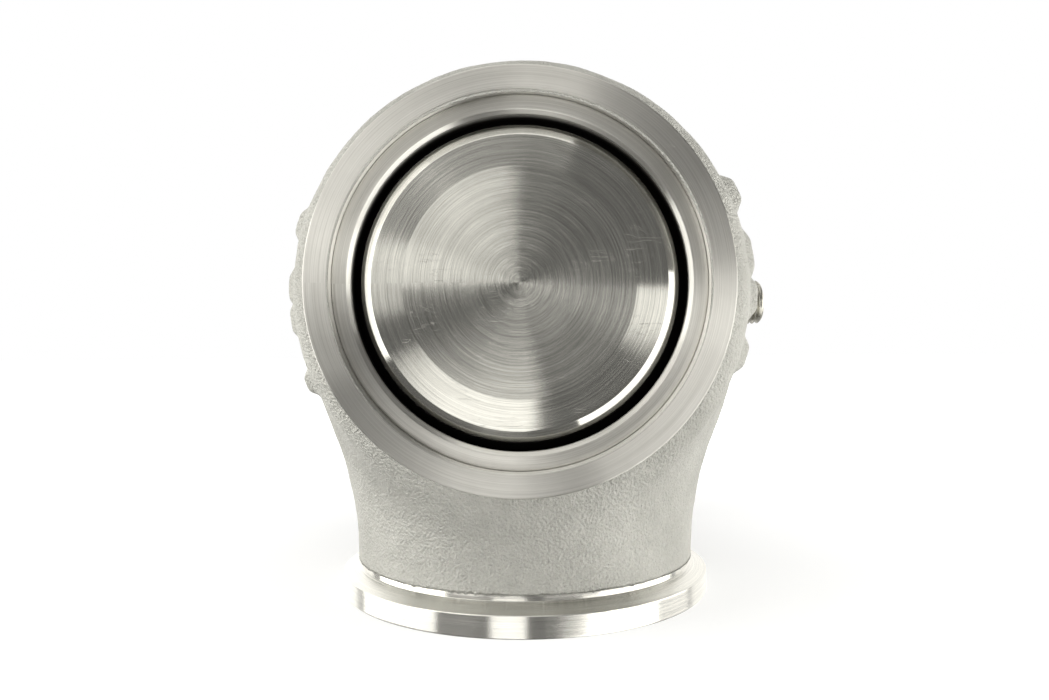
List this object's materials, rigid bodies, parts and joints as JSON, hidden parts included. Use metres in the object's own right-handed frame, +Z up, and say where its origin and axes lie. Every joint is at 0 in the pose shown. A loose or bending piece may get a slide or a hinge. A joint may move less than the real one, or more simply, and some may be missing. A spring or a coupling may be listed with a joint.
{
  "type": "turbo wastegate",
  "caption": "External turbo wastegate: cast stainless housing with inlet and outlet V-band flanges, poppet valve on a ring seat, spring and diaphragm actuator behind.",
  "frame": {"origin": "centre of the inlet V-band flange face", "axes": "+Y along the valve axis from the inlet towards the actuator, +Z up with the outlet pointing down, +X to the right when looking into the inlet"},
  "size_m": [0.142, 0.161, 0.1154],
  "materials": {
    "cast_stainless": "bead-blasted investment casting with turned flanges",
    "turned_stainless": "turned, concentric tool marks",
    "turned_valve_steel": "face turned, light handling scratches",
    "bronze": "machined bronze",
    "graphite": "pressed graphite",
    "spring_steel": "blackened spring steel",
    "gasket": "heat resistant laminate",
    "anodised_dark": "black anodised, turned",
    "screw_steel": "stainless fasteners",
    "fitting_steel": "dull plated steel",
    "copper_washer": "annealed copper",
    "seal_rubber": "moulded rubber",
    "diaphragm_rubber": "fabric reinforced silicone rubber",
    "spring_wire": "shot-peened spring wire",
    "plain_aluminium": "turned, uncoated"
  },
  "bodies": {
    "gate_body": {"valve_housing": "cast_stainless", "valve_seat": "turned_stainless", "valve_guide": "bronze", "guide_seal_ring": "graphite", "guide_circlip": "spring_steel", "heat_gasket": "gasket", "actuator_base": "anodised_dark", "base_screws": "screw_steel", "cap_screws": "screw_steel", "stem_bush": "bronze", "stem_seal": "seal_rubber", "seal_circlip": "spring_steel", "lower_air_fitting": "fitting_steel", "upper_air_fitting": "fitting_steel", "air_port_plug": "fitting_steel", "coolant_port_plugs": "fitting_steel", "sealing_washers": "copper_washer", "diaphragm": "diaphragm_rubber", "outer_spring": "spring_wire", "inner_spring": "spring_wire", "actuator_cap": "anodised_dark"},
    "valve_train": {"valve": "turned_valve_steel", "lower_diaphragm_plate": "plain_aluminium", "spring_piston": "plain_aluminium", "piston_washer": "screw_steel", "stem_nut": "screw_steel"}
  },
  "joints": [
    {"name": "valve_lift", "type": "slide", "parent": "gate_body", "child": "valve_train", "axis": [0, 1, 0], "range_m": [0, 0.014], "stiffness_N_per_m": 9000, "springref_m": -0.02, "deforming": ["outer_spring", "inner_spring", "diaphragm"]}
  ]
}
